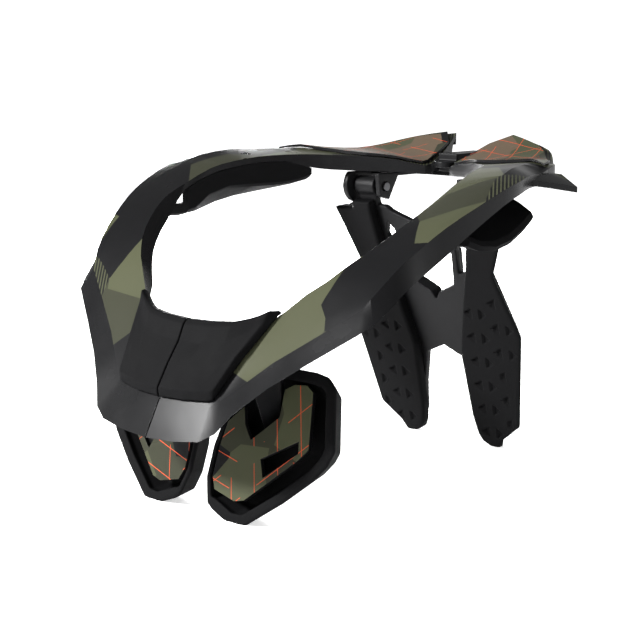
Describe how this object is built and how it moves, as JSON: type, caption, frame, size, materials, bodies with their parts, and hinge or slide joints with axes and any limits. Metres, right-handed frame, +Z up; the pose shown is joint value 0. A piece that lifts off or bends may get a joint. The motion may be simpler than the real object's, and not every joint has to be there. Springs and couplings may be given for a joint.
{
  "type": "motocross neck brace",
  "caption": "Neck brace for off-road riding: two collar arms that open at the back, chest pads, shoulder pads and a pair of padded back wings.",
  "frame": {"origin": "on the floor under the middle of the brace's box, where it stands on its chest pads and wing tips", "axes": "+X to the wearer's left, +Y towards the back, +Z up"},
  "size_m": [0.281, 0.3066, 0.2098],
  "materials": {
    "shell": "satin moulded plastic with dark and olive patches",
    "plate": "satin plastic with an olive and dark pattern and thin red lines",
    "pad": "matte moulded foam",
    "hardware": "satin moulded plastic",
    "steel": "dull steel"
  },
  "bodies": {
    "carrier": {"rear_link": "hardware", "hinge_pin_left": "steel", "hinge_pin_right": "steel", "bracket_left": "hardware", "bracket_right": "hardware", "wing_screw_left": "steel", "wing_screw_right": "steel"},
    "arm_left": {"collar_arm_left": "shell", "table_plate_left": "plate", "front_pad_left": "pad", "shoulder_pad_left": "pad", "chest_lug_left": "hardware", "chest_frame_left": "pad", "chest_plate_left": "plate"},
    "arm_right": {"collar_arm_right": "shell", "table_plate_right": "plate", "front_pad_right": "pad", "shoulder_pad_right": "pad", "chest_lug_right": "hardware", "chest_frame_right": "pad", "chest_plate_right": "plate"},
    "wings": {"wing_frame": "hardware", "wing_pad_left": "pad", "wing_pad_right": "pad"}
  },
  "joints": [
    {"name": "arm_left_swing", "type": "hinge", "parent": "carrier", "child": "arm_left", "pos_m": [0.026, 0.13075, 0.19], "axis": [0, 0, 1], "range_deg": [0, 25]},
    {"name": "arm_right_swing", "type": "hinge", "parent": "carrier", "child": "arm_right", "pos_m": [-0.026, 0.13075, 0.19], "axis": [0, 0, -1], "range_deg": [0, 25]},
    {"name": "wing_tilt", "type": "hinge", "parent": "carrier", "child": "wings", "pos_m": [0, 0.08975, 0.175], "axis": [1, 0, 0], "range_deg": [-12, 20]}
  ]
}
